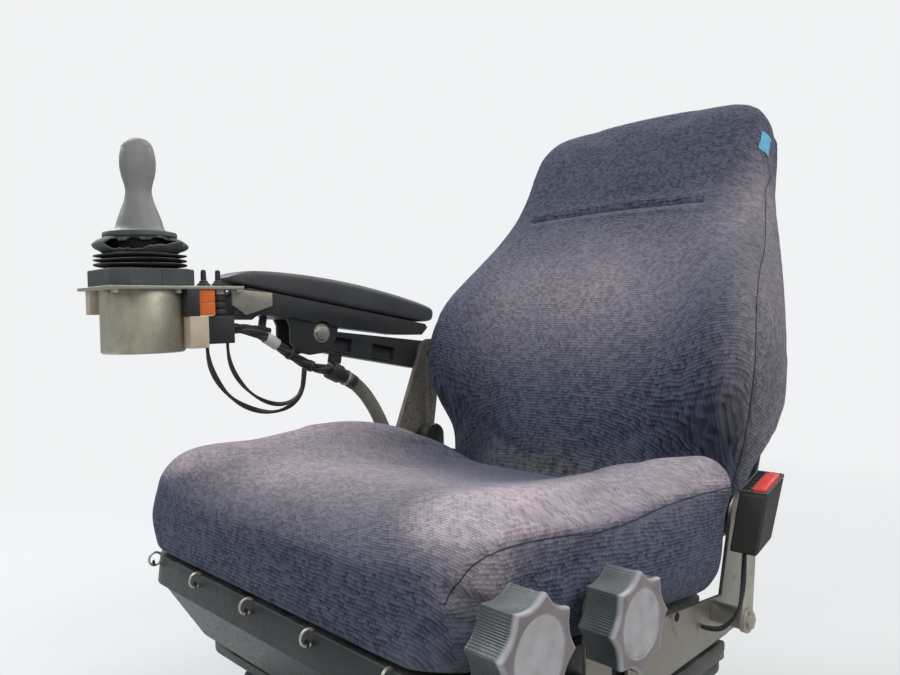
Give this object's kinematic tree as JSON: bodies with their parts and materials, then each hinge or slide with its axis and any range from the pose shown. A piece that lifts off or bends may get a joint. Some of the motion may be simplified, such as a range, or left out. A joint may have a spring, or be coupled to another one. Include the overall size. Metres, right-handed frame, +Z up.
{
  "type": "suspension operator seat with armrest joystick console for a sideloader forklift",
  "caption": "Fabric operator's seat on a sliding suspension base, with a reclining back, belt buckle, side knobs and a folding right armrest that carries a joystick console.",
  "frame": {"origin": "centre of the four floor bolts, on the underside of the base tray", "axes": "+Z up, the seat faces -Y, the operator's left is +X"},
  "size_m": [0.663, 0.7273, 0.8271],
  "materials": {
    "seat_fabric": "ribbed knit upholstery, slate violet, worn paler on the bolsters",
    "black_plastic": "moulded, fine grain",
    "knob_plastic": "moulded, satin, dusty",
    "pad_vinyl": "soft integral skin foam",
    "bellows_rubber": "matt rubber",
    "black_steel": "black paint, scratched",
    "zinc_steel": "zinc plated, dull",
    "worn_steel": "bare and stained sheet steel",
    "cast_aluminium": "cast, dull",
    "red_plastic": "red button",
    "orange_plastic": "orange connector",
    "beige_plastic": "beige relay case",
    "grey_plastic": "grey grip",
    "cable_black": "cable sheath",
    "conduit_sheath": "corrugated loom, dusty"
  },
  "bodies": {
    "base": {"base_tray": "black_steel", "suspension_bellows": "bellows_rubber", "upper_frame": "black_steel", "rail_left": "black_steel", "rail_right": "black_steel"},
    "seat": {"runner_left": "zinc_steel", "runner_right": "zinc_steel", "seat_pan": "black_steel", "seat_cushion": "seat_fabric", "side_plate_left": "zinc_steel", "side_plate_right": "zinc_steel", "knob_bracket": "zinc_steel", "knob_front": "knob_plastic", "knob_rear": "knob_plastic", "buckle_strap": "zinc_steel", "buckle_body": "black_plastic", "buckle_button": "red_plastic", "buckle_wire": "cable_black", "belt_retractor": "black_plastic", "retractor_bracket": "zinc_steel", "armrest_upright": "worn_steel", "cable_conduit": "conduit_sheath", "conduit_gland": "black_plastic"},
    "backrest": {"recliner_frame": "black_steel", "backrest_shell": "black_plastic", "backrest_cushion": "seat_fabric"},
    "arm": {"armrest_beam": "black_plastic", "conduit_ferrule": "black_plastic"},
    "armrest": {"armrest_tray": "black_plastic", "armrest_pad": "pad_vinyl", "tilt_bolt": "zinc_steel", "tilt_knob": "black_plastic", "console_bracket": "zinc_steel", "console_plate": "zinc_steel", "joystick_can": "cast_aluminium", "joystick_collar": "black_plastic", "joystick_boot": "bellows_rubber", "joystick_handle": "grey_plastic", "toggle_switches": "black_plastic", "switch_body": "black_plastic", "signal_block_upper": "orange_plastic", "signal_block_lower": "orange_plastic", "relay_box": "beige_plastic", "small_relay": "beige_plastic", "connector_block": "black_plastic", "ribbed_gland": "black_plastic", "harness_bundle": "cable_black", "harness_loop": "cable_black", "harness_spur": "cable_black"}
  },
  "joints": [
    {"name": "seat_slide", "type": "slide", "parent": "base", "child": "seat", "axis": [0, 1, 0], "range_m": [-0.075, 0.075]},
    {"name": "backrest_recline", "type": "hinge", "parent": "seat", "child": "backrest", "pos_m": [0, 0.20242, 0.32093], "axis": [1, 0, 0], "range_deg": [-8, 35]},
    {"name": "armrest_fold", "type": "hinge", "parent": "seat", "child": "arm", "pos_m": [-0.2928, 0.243, 0.478], "axis": [-1, 0, 0], "range_deg": [0, 80]},
    {"name": "armrest_tilt", "type": "hinge", "parent": "arm", "child": "armrest", "pos_m": [-0.3058, 0.03784, 0.51788], "axis": [1, 0, 0], "range_deg": [0, 12]}
  ]
}
